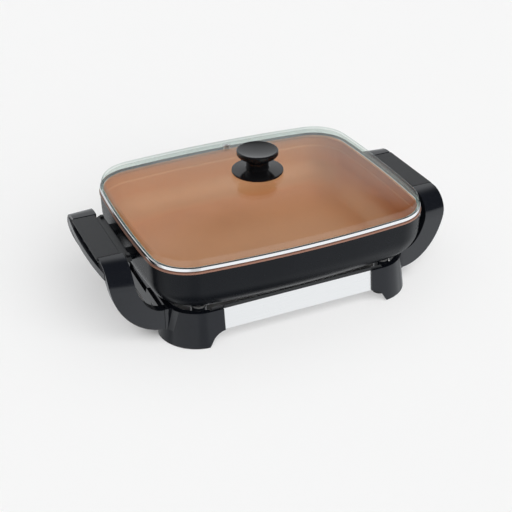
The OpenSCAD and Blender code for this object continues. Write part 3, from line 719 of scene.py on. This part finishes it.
class Shape:
    """A mesh in the making."""

    SAME_PLACE = 2e-6  # metres; vertices nearer than this are one
    SAME_FACE = 0.6  # degrees; faces that meet more flatly than this are one

    def __init__(self) -> None:
        """Starts an empty mesh."""
        self.bm = bmesh.new()

    @classmethod
    def from_node(cls, name: str) -> "Shape":
        """Starts from a copy of a solid, with its triangles joined into flat faces.

        Args:
            name: The node's name.

        Returns:
            The shape.
        """
        shape = cls()
        bm = shape.bm
        bm.from_mesh(bpy.data.objects[name].data)
        bmesh.ops.remove_doubles(bm, verts=bm.verts[:], dist=cls.SAME_PLACE)
        flat = math.radians(cls.SAME_FACE)
        bmesh.ops.dissolve_limit(bm, angle_limit=flat, verts=bm.verts[:], edges=bm.edges[:])
        return shape

    def ring(self, points: Sequence[Vector]) -> list[bmesh.types.BMVert]:
        """Adds a ring of points.

        Args:
            points: The ring's points, in metres.

        Returns:
            Its vertices.
        """
        return [self.bm.verts.new(p) for p in points]

    def loft(self, rings: Sequence[Sequence[Vector]], closed: bool = False) -> "Shape":
        """Skins a stack of rings of equal length.

        Args:
            rings: The rings, in order along the section.
            closed: Whether the last ring joins the first, as in a tube; else both get a cap.

        Returns:
            The shape itself.
        """
        rows = [self.ring(points) for points in rings]
        if closed:
            rows.append(rows[0])
        else:
            rows = self._cap(rows[0])[::-1] + rows + self._cap(rows[-1])
        for low, high in zip(rows, rows[1:], strict=False):
            for k in range(len(low)):
                quad = (low[k - 1], low[k], high[k], high[k - 1])
                self.bm.faces.new(list(dict.fromkeys(quad)))
        bmesh.ops.recalc_face_normals(self.bm, faces=self.bm.faces[:])
        return self

    def _cap(self, row: list[bmesh.types.BMVert]) -> list[list[bmesh.types.BMVert]]:
        """Adds the rows that close a ring, from next to it to its middle.

        Args:
            row: The ring's vertices.

        Returns:
            The rows; the last is one vertex, once for each of the ring's.
        """
        middle = sum((v.co for v in row), Vector()) / len(row)
        half = self.ring([middle.lerp(v.co, 0.5) for v in row])
        return [half, self.ring([middle]) * len(row)]

    def block(self, low: Sequence[float], high: Sequence[float]) -> list[bmesh.types.BMVert]:
        """Adds a block.

        Args:
            low: Its lowest corner, in millimetres.
            high: Its highest corner, in millimetres.

        Returns:
            Its corners.
        """
        verts = bmesh.ops.create_cube(self.bm, size=1)["verts"]
        size = Vector(high) - Vector(low)
        bmesh.ops.scale(self.bm, vec=size * MM, verts=verts)
        bmesh.ops.translate(self.bm, vec=(Vector(high) + Vector(low)) * MM / 2, verts=verts)
        return verts

    @staticmethod
    def _is_sharp(edge: bmesh.types.BMEdge, angle: float) -> bool:
        """Whether an edge joins two faces at more than an angle, in degrees."""
        return len(edge.link_faces) == 2 and edge.calc_face_angle(0) > math.radians(angle)

    def round_edges(self, width: float, angle: float = 30, shortest: float = 0.6) -> "Shape":
        """Rounds the edges that are sharper than an angle.

        Args:
            width: The width of the rounding, in millimetres.
            angle: The smallest angle between faces that is rounded, in degrees.
            shortest: Edges shorter than this, in millimetres, stay sharp.

        Returns:
            The shape itself.
        """
        edges = self.bm.edges
        bmesh.ops.bevel(
            self.bm,
            geom=[e for e in edges if self._is_sharp(e, angle) and e.calc_length() > shortest * MM],
            offset=width * MM,
            offset_type="OFFSET",
            affect="EDGES",
            segments=2,
            profile=0.5,
            material=-1,
            clamp_overlap=True,
        )
        return self

    def make(
        self,
        name: str,
        body: Body,
        material: bpy.types.Material,
        slot: str,
        replaces: Sequence[str] = (),
        smooth: float = 35,
    ) -> bpy.types.Object:
        """Turns the shape into a piece.

        Args:
            name: The piece's name.
            body: The body that it rides on.
            material: Its material.
            slot: The record's slot for its finish; not used.
            replaces: The nodes that it stands for.
            smooth: Edges sharper than this stay sharp in the shading, in degrees.

        Returns:
            The piece.
        """
        for f in self.bm.faces:
            f.smooth = True
        for e in self.bm.edges:
            e.smooth = not self._is_sharp(e, smooth)
        mesh = bpy.data.meshes.new(name)
        self.bm.to_mesh(mesh)
        self.bm.free()
        mesh.materials.append(material)
        piece = bpy.data.objects.new(name, mesh)
        bpy.context.scene.collection.objects.link(piece)
        weighted = piece.modifiers.new("weighted", "WEIGHTED_NORMAL")
        weighted.keep_sharp = True
        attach(piece, body.value)
        if replaces:
            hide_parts(*replaces)
        log.info("%s: %d faces on %s", name, len(mesh.polygons), body.value)
        return piece


@dataclass
class Part:
    """What the sub-assemblies share."""

    finishes: Finishes
    nodes: dict[str, bpy.types.Object]

    def dress(self, finish: Finish, *names: str) -> None:
        """Gives solids that keep their own shape a finish.

        Args:
            finish: The finish.
            *names: The nodes.
        """
        for name in names:
            mesh = self.nodes[name].data
            mesh.materials.clear()
            mesh.materials.append(self.finishes.of(finish))
            log.info("%s keeps its solid", name)

    def soften(self, node: str, body: Body, finish: Finish, slot: str, width: float) -> None:
        """Makes a solid again with round edges.

        Args:
            node: The node.
            body: Its body.
            finish: Its finish.
            slot: The record's slot for its finish.
            width: The width of the rounding, in millimetres.
        """
        shape = Shape.from_node(node).round_edges(width)
        shape.make(f"{node}_moulded", body, self.finishes.of(finish), slot, [node])


# ---------------------------------------------------------------- sub-assemblies


@dataclass
class Base(Part):
    """The base: end mouldings, rails, steel bands, feet and handle frames."""

    edge: float = 0.7

    def build(self) -> None:
        """Makes and dresses the base."""
        f = self.finishes
        for side in ("left", "right"):
            self.soften(f"base_end_{side}", Body.BASE, f.gloss, "gloss_plastic", self.edge)
            self.soften(f"handle_frame_{side}", Body.BASE, f.arm, "gloss_plastic", self.edge)
        self.dress(f.satin, "front_rail", "rear_rail")
        self.dress(f.band, "front_band", "rear_band")
        self.dress(f.foot, "rubber_feet")
        self.dress(f.pad, "rest_pads")
        self.dress(f.zinc, "rail_screws", "handle_screws")


@dataclass
class Pan(Part):
    """The pan: cast shell, copper-coloured lining, grips, heating element and terminals."""

    outline: Outline = field(default_factory=Outline)
    lip: float = 124.4
    bottom: float = 54.0
    bend: float = 42.0
    bend_steps: int = 16
    lean: float = 1.5
    upper_wall: tuple[tuple[float, float], ...] = ((1.25, 104.0), (1.0, 113.0))
    lip_wall: float = 3.2
    wall: float = 4.4
    step: float = 111.4
    floor: float = 4.2
    coating: float = 0.8
    band: float = 2.6
    growth: float = 0.6
    edge: float = 0.5
    edge_angle: float = 40.0
    lug_from: float = 194.8
    lug_to: float = 212.0
    lug_apart: float = 34.0
    lug_half: float = 10.0
    lug_bottom: float = 98.0
    lug_top: float = 106.0
    pad_low: tuple[float, float, float] = (180.0, -26.0, 56.5)
    pad_high: tuple[float, float, float] = (189.0, 26.0, 72.0)
    pad_slope: float = 6.0
    tray_edge: float = 0.35
    grip_edge: float = 0.6

    def outside(self) -> Section:
        """The outer section, from the bottom up.

        Returns:
            Pairs of inset and height.
        """
        centre = (self.lean + self.bend, self.bottom + self.bend)
        under_lip = (self.coating + 0.25, self.lip - self.band - 0.5)
        return [*self._arc(centre, self.bend), *self.upper_wall, under_lip]

    def inside(self, layer: float) -> Section:
        """The inner section, from the floor up, moved in by a layer.

        Args:
            layer: The thickness of what lies on it.

        Returns:
            Pairs of inset and height.
        """
        r = self.bend - self.wall - self.lean
        c = (self.lean + self.wall + r, self.bottom + self.floor + r)
        shelf = self.step - (self.wall - self.lip_wall) - layer
        return self._arc(c, r - layer) + [
            (self.wall + layer + 0.1, shelf - 1.2),
            (self.wall + layer, shelf - 0.4),
            (self.wall + layer - 0.2, shelf),
            (self.lip_wall + layer + 0.3, self.step - 0.1),
            (self.lip_wall + layer, self.step + 0.5),
        ]

    def _arc(self, centre: tuple[float, float], radius: float) -> Section:
        """A quarter bend, from its lowest point up.

        Args:
            centre: Its centre as inset and height.
            radius: Its radius.

        Returns:
            Pairs of inset and height.
        """
        turns = (math.pi / 2 * k / self.bend_steps for k in range(self.bend_steps + 1))
        return [(centre[0] - radius * math.sin(t), centre[1] - radius * math.cos(t)) for t in turns]

    def rings(self, section: Section) -> list[list[Vector]]:
        """Rings of the outline along a section.

        Args:
            section: Pairs of inset and height.

        Returns:
            The rings.
        """
        return [self.outline.ring(i, z, growth=self.growth * self.draw_in(z)) for i, z in section]

    def draw_in(self, height: float) -> float:
        """How far the outer bend has drawn in at a height.

        Args:
            height: The height above the table.

        Returns:
            The distance, in millimetres.
        """
        up = max(0.0, min(self.bend, height - self.bottom))
        return self.bend - math.sqrt(self.bend**2 - (self.bend - up) ** 2)

    def shell(self) -> None:
        """Makes the cast shell with its four lugs and the pad behind its terminals."""
        c, lip = self.coating, self.lip
        top = [(c, lip - self.band), (c, lip - c), (self.lip_wall, lip - c)]
        section = self.outside() + top + self.inside(0)[::-1]
        shape = Shape().loft(self.rings(section))
        for end in (-1, 1):
            near, far = sorted((end * self.lug_from, end * self.lug_to))
            for y in (-self.lug_apart, self.lug_apart):
                low = (near, y - self.lug_half, self.lug_bottom)
                shape.block(low, (far, y + self.lug_half, self.lug_top))
        middle = (Vector(self.pad_low) + Vector(self.pad_high)) * MM / 2
        for v in shape.block(self.pad_low, self.pad_high):
            if v.co.x < middle.x and v.co.z > middle.z:
                v.co.x += self.pad_slope * MM
        shape.round_edges(self.edge, self.edge_angle)
        enamel = self.finishes.of(self.finishes.enamel)
        shape.make("pan_shell_cast", Body.PAN, enamel, "pan_enamel", ["pan_shell"])

    def lining(self) -> None:
        """Makes the copper-coloured lining, which wraps over the lip."""
        c, lip = self.coating, self.lip
        over = [
            (c, lip - c),
            (c, lip - self.band),
            (0.25, lip - self.band),
            (0.0, lip - self.band + 0.25),
            (0.0, lip - 0.7),
            (0.2, lip - 0.2),
            (0.7, lip),
            (self.lip_wall + c - 0.7, lip),
            (self.lip_wall + c - 0.15, lip - 0.25),
            (self.lip_wall + c, lip - 0.8),
        ]
        section = self.inside(0) + [(self.lip_wall, lip - c)] + over + self.inside(c)[::-1]
        shape = Shape().loft(self.rings(section))
        copper = self.finishes.of(self.finishes.copper)
        lining = shape.make("copper_lining", Body.PAN, copper, "copper_ceramic", ["ceramic_coating"])
        lining.data.materials.append(self.finishes.of(self.finishes.lip))
        # What lies as high as the lip and doesn't face the food gets the lip's darker tone.
        lowest = (lip - self.band - 0.1) * MM
        for face in lining.data.polygons:
            inward = -(face.normal.x * face.center.x + face.normal.y * face.center.y)
            if face.center.z > lowest and inward < 0.001:
                face.material_index = 1

    def build(self) -> None:
        """Makes and dresses the pan."""
        f = self.finishes
        self.shell()
        self.lining()
        for side in ("left", "right"):
            self.soften(f"handle_tray_{side}", Body.PAN, f.satin, "rail_plastic", self.tray_edge)
            self.soften(f"grip_plate_{side}", Body.PAN, f.grip, "grip_plastic", self.grip_edge)
        self.dress(f.zinc, "tray_screws", "grip_screws", "guard_screws")
        self.dress(f.sheath, "heating_element", "sensor_well")
        self.dress(f.brass, "terminal_pins")
        self.dress(f.insulator, "terminal_insulators")
        self.dress(f.satin, "probe_guard")


@dataclass
class Lid(Part):
    """The lid: domed glass, steel rim, steam vent and knob."""

    outline: Outline = field(default_factory=Outline)
    glass: float = 3.5
    edge: float = 1.9
    bottom: float = 125.6
    rim_low: float = 124.7
    rim_top: float = 130.9
    rim_steel: float = 0.9
    flare_share: float = 0.55
    flare_rise: float = 3.0
    shoulder: float = 144.4
    shoulder_radius: float = 7.0
    shoulder_turn: float = 78.0
    shoulder_steps: int = 10
    lean: float = 2.0
    crown: float = 163.4
    inner_share: float = 0.25
    dome_steps: int = 18
    flange_edge: float = 0.4
    knob_edge: float = 0.5

    def wall(self, layer: float) -> Section:
        """The glass from its edge up to the top of the shoulder.

        Args:
            layer: How far inside the outer face.

        Returns:
            Pairs of inset and height.
        """
        r = self.shoulder_radius - layer
        c = self.edge + self.lean + self.shoulder_radius
        foot = c - r
        turn, steps = math.radians(self.shoulder_turn), self.shoulder_steps
        turns = [turn * k / steps for k in range(steps + 1)]
        flare = self.edge + layer + (foot - self.edge - layer) * self.flare_share
        return [
            (self.edge + layer, self.bottom),
            (self.edge + layer, self.rim_top),
            (flare, self.rim_top + self.flare_rise),
        ] + [(c - r * math.cos(t), self.shoulder - self.shoulder_radius + r * math.sin(t)) for t in turns]

    def dome(self, layer: float) -> list[list[Vector]]:
        """The rings of the dome, from the shoulder inwards.

        Args:
            layer: How far inside the outer face.

        Returns:
            The rings.
        """
        inset, start = self.wall(layer)[-1]
        rings = []
        for k in range(1, self.dome_steps + 1):
            share = 1 - (1 - self.inner_share) * k / self.dome_steps
            rise = 1 - ((share - self.inner_share) / (1 - self.inner_share)) ** 2
            rings.append(self.outline.ring(inset, start + (self.crown - layer - start) * rise, share))
        return rings

    def pane(self) -> None:
        """Makes the glass."""
        outer = [self.outline.ring(*p) for p in self.wall(0)] + self.dome(0)
        inner = [self.outline.ring(*p) for p in self.wall(self.glass)] + self.dome(self.glass)
        shape = Shape().loft(inner[::-1] + outer)
        glass = self.finishes.of(self.finishes.glass)
        shape.make("lid_glass_pane", Body.LID, glass, "lid_glass", ["lid_glass"])

    def rim(self) -> None:
        """Makes the folded steel rim."""
        low, top, steel = self.rim_low, self.rim_top, self.rim_steel
        face = self.edge + self.glass
        out = self.edge - steel
        section = [
            (out + 0.9, low),
            (out + 0.45, low + 0.25),
            (out + 0.2, low + 0.6),
            (out + 0.05, low + 1.3),
            (out, low + 2.1),
            (out, top - 2.6),
            (out + 0.08, top - 1.6),
            (out + 0.32, top - 0.8),
            (out + 0.6, top - 0.3),
            (self.edge, top),
            (self.edge, self.bottom),
            (face, self.bottom),
            (face, top - 1.8),
            (face + 0.5, top - 1.8),
            (face + steel, top - 2.2),
            (face + steel, low + 0.8),
            (face + steel - 0.3, low + 0.2),
            (face + steel - 0.8, low),
        ]
        shape = Shape().loft([self.outline.ring(*p) for p in section], closed=True)
        polished = self.finishes.of(self.finishes.rim)
        shape.make("lid_rim_folded", Body.LID, polished, "rim_steel", ["lid_rim"])

    def build(self) -> None:
        """Makes and dresses the lid."""
        f = self.finishes
        self.pane()
        self.rim()
        self.soften("knob_flange", Body.LID, f.knob, "gloss_plastic", self.flange_edge)
        self.soften("knob_grip", Body.LID, f.knob, "gloss_plastic", self.knob_edge)
        self.dress(f.eyelet, "steam_vent")
        self.dress(f.zinc, "knob_washer", "knob_screw")
        self.dress(f.pad, "knob_gasket")


# ---------------------------------------------------------------- studio


def direction(azimuth: float, elevation: float) -> Vector:
    """The way from the skillet to a place round it.

    Args:
        azimuth: Degrees round from the front, positive to the right.
        elevation: Degrees above level.

    Returns:
        A vector of length 1.
    """
    a, e = math.radians(azimuth), math.radians(elevation)
    return Vector((math.sin(a) * math.cos(e), -math.cos(a) * math.cos(e), math.sin(e)))


@dataclass(frozen=True)
class Ball:
    """A large glowing ball round the skillet that throws no light of its own."""

    name: str
    radius: float

    def glow(self, g: Graph) -> bpy.types.NodeSocket:
        """The colour that the ball shows in each direction.

        Args:
            g: The material's graph.

        Returns:
            A colour socket.
        """
        raise NotImplementedError

    def build(self) -> bpy.types.Object:
        """Adds the ball.

        Returns:
            The ball, which nothing sees yet.
        """
        bm = bmesh.new()
        bmesh.ops.create_icosphere(bm, subdivisions=5, radius=self.radius)
        bmesh.ops.reverse_faces(bm, faces=bm.faces[:])
        mesh = bpy.data.meshes.new(self.name)
        bm.to_mesh(mesh)
        bm.free()
        g = Graph(f"{self.name}_light")
        g.set(Base_Color=(0.0, 0.0, 0.0), Roughness=1.0, Specular_IOR_Level=0.0, Emission_Strength=1.0)
        g.set(Emission_Color=self.glow(g))
        mesh.materials.append(g.material)
        ball = bpy.data.objects.new(self.name, mesh)
        ball.visible_camera = ball.visible_glossy = False
        ball.visible_diffuse = ball.visible_transmission = ball.visible_shadow = False
        bpy.context.scene.collection.objects.link(ball)
        return ball


@dataclass(frozen=True)
class Room(Ball):
    """The room that polished surfaces mirror: bright behind and low in front, dark overhead.

    The places where its brightness changes are shares of the radius along X, Y or Z.
    """

    behind: float = 0.75
    table: float = 1.75
    far_table: float = 0.55
    elsewhere: float = 0.05
    middle: float = 0.38
    right_end: float = 1.2
    tint: Colour = (0.95, 0.975, 1.0)

    def glow(self, g: Graph) -> bpy.types.NodeSocket:
        """The room's light in each direction.

        Args:
            g: The material's graph.

        Returns:
            A colour socket.
        """
        x, y, z = g.axes((1 / self.radius,) * 3)
        behind = y.between(0.0, 0.7) * z.between(0.98, 0.55) * z.between(-0.25, 0.05)
        off_middle = (x + 0.13).size().between(0.1, 0.5) * (1 - self.middle)
        aside = off_middle + x.between(0.3, 0.8) * self.right_end + self.middle
        low = z.between(0.17, -0.08) * z.between(-0.95, -0.62)
        table = y.between(0.25, -0.3) * low * aside
        far_table = y.between(-0.2, 0.4) * z.between(0.1, -0.2)
        bright = behind * self.behind + table * self.table + far_table * self.far_table + self.elsewhere
        return g.blend(bright, (0, 0, 0), self.tint)

    def build(self) -> bpy.types.Object:
        """Adds the room, for mirrored light only.

        Returns:
            The ball.
        """
        ball = super().build()
        ball.visible_glossy = True
        return ball


@dataclass(frozen=True)
class Backdrop(Ball):
    """The plain pale backdrop beyond the floor."""

    dim: Colour = (0.925, 0.925, 0.925)
    pale: Colour = (0.935, 0.935, 0.935)

    def glow(self, g: Graph) -> bpy.types.NodeSocket:
        """An almost even, pale colour, as a colour socket."""
        return g.blend(g.noise(0.05, 0), self.dim, self.pale)

    def build(self) -> bpy.types.Object:
        """Adds the backdrop, for the camera only.

        Returns:
            The ball.
        """
        ball = super().build()
        ball.visible_camera = True
        return ball


@dataclass(frozen=True)
class Sky:
    """Soft light from one side, which polished surfaces don't mirror."""

    name: str
    azimuth: float
    elevation: float
    share: float
    breadth: float

    def build(self) -> None:
        """Adds the light; its share is what it gives a level white surface."""
        data = bpy.data.lights.new(self.name, "SUN")
        data.energy = self.share * math.pi / math.sin(math.radians(self.elevation))
        data.angle = math.radians(self.breadth)
        lamp = bpy.data.objects.new(self.name, data)
        source = direction(self.azimuth, self.elevation)
        lamp.location = source * 3
        lamp.rotation_euler = (-source).to_track_quat("-Z", "Y").to_euler()
        lamp.visible_glossy = False
        bpy.context.scene.collection.objects.link(lamp)


@dataclass(frozen=True)
class Studio:
    """The camera, the floor and the lights."""

    azimuth: float = -24.623
    elevation: float = 31.268
    roll: float = -0.191
    distance: float = 1.3766
    target: tuple[float, float, float] = (-0.02376, -0.04621, 0.06)
    lens: float = 71.04
    sensor: float = 36.0
    clip: tuple[float, float] = (0.05, 50.0)
    floor_half: float = 12.0
    floor_white: float = 0.5
    floor_glow: float = 0.415
    # Where the painted shadow under the skillet fades out, along X and along Y, in metres.
    painted_shadow_x: tuple[float, float] = (0.215, 0.165)
    painted_shadow_y: tuple[float, float] = (0.105, 0.065)
    around: float = 0.2

    def camera(self) -> None:
        """Adds the camera."""
        a, r = math.radians(self.azimuth), math.radians(self.roll)
        back = direction(self.azimuth, self.elevation)
        right = Vector((math.cos(a), math.sin(a), 0))
        up = back.cross(right)
        across = right * math.cos(r) + up * math.sin(r)
        above = up * math.cos(r) - right * math.sin(r)
        data = bpy.data.cameras.new("main_camera")
        data.sensor_width = self.sensor
        data.lens = self.lens
        data.clip_start, data.clip_end = self.clip
        camera = bpy.data.objects.new("main_camera", data)
        turn = Matrix((across, above, back)).transposed().to_4x4()
        camera.matrix_world = Matrix.Translation(Vector(self.target) + back * self.distance) @ turn
        bpy.context.scene.collection.objects.link(camera)
        bpy.context.scene.camera = camera

    def floor(self) -> None:
        """Adds the pale floor, which glows a little except under the skillet, where its glow fades out as
        a painted shadow.
        """
        bm = bmesh.new()
        bmesh.ops.create_grid(bm, x_segments=1, y_segments=1, size=self.floor_half)
        mesh = bpy.data.meshes.new("floor")
        bm.to_mesh(mesh)
        bm.free()
        g = Graph("pale_floor")
        g.set(Base_Color=(self.floor_white,) * 3, Roughness=0.9, Specular_IOR_Level=0.0)
        x, y, _ = g.axes()
        # Painted shadow: the floor's glow fades out in a soft rectangle under the skillet, so that the
        # floor seen through its gaps stays dark.
        under = x.size().between(*self.painted_shadow_x) * y.size().between(*self.painted_shadow_y)
        g.set(Emission_Color=g.blend(under, (1, 1, 1), (0, 0, 0)), Emission_Strength=self.floor_glow)
        mesh.materials.append(g.material)
        floor = bpy.data.objects.new("floor", mesh)
        floor.visible_glossy = False
        bpy.context.scene.collection.objects.link(floor)

    def light(self) -> None:
        """Adds the lights and the surroundings."""
        world = bpy.data.worlds.new("studio")
        world.use_nodes = True
        background = world.node_tree.nodes["Background"]
        background.inputs["Color"].default_value = (1.0, 1.0, 1.0, 1)
        background.inputs["Strength"].default_value = self.around
        bpy.context.scene.world = world
        Sky("front_sky", azimuth=5, elevation=33, share=0.55, breadth=75).build()
        Sky("top_sky", azimuth=20, elevation=78, share=0.28, breadth=120).build()
        Room("studio_room", radius=6.0).build()
        Backdrop("studio_backdrop", radius=11.5).build()

    def build(self) -> None:
        """Builds the studio."""
        self.camera()
        self.floor()
        self.light()
        bpy.context.scene.view_settings.view_transform = "Standard"


def main() -> None:
    """Builds the skillet around its frame."""
    logging.basicConfig(level=logging.INFO, format="%(name)s: %(message)s")
    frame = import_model()
    finishes = Finishes()
    steps: list[tuple[str, Callable[[], None]]] = [
        ("studio", Studio().build),
        ("base", Base(finishes, frame["nodes"]).build),
        ("pan", Pan(finishes, frame["nodes"]).build),
        ("lid", Lid(finishes, frame["nodes"]).build),
    ]
    for name, build in steps:
        build()
        log.info("%s is done", name)


if __name__ == "__main__":
    main()
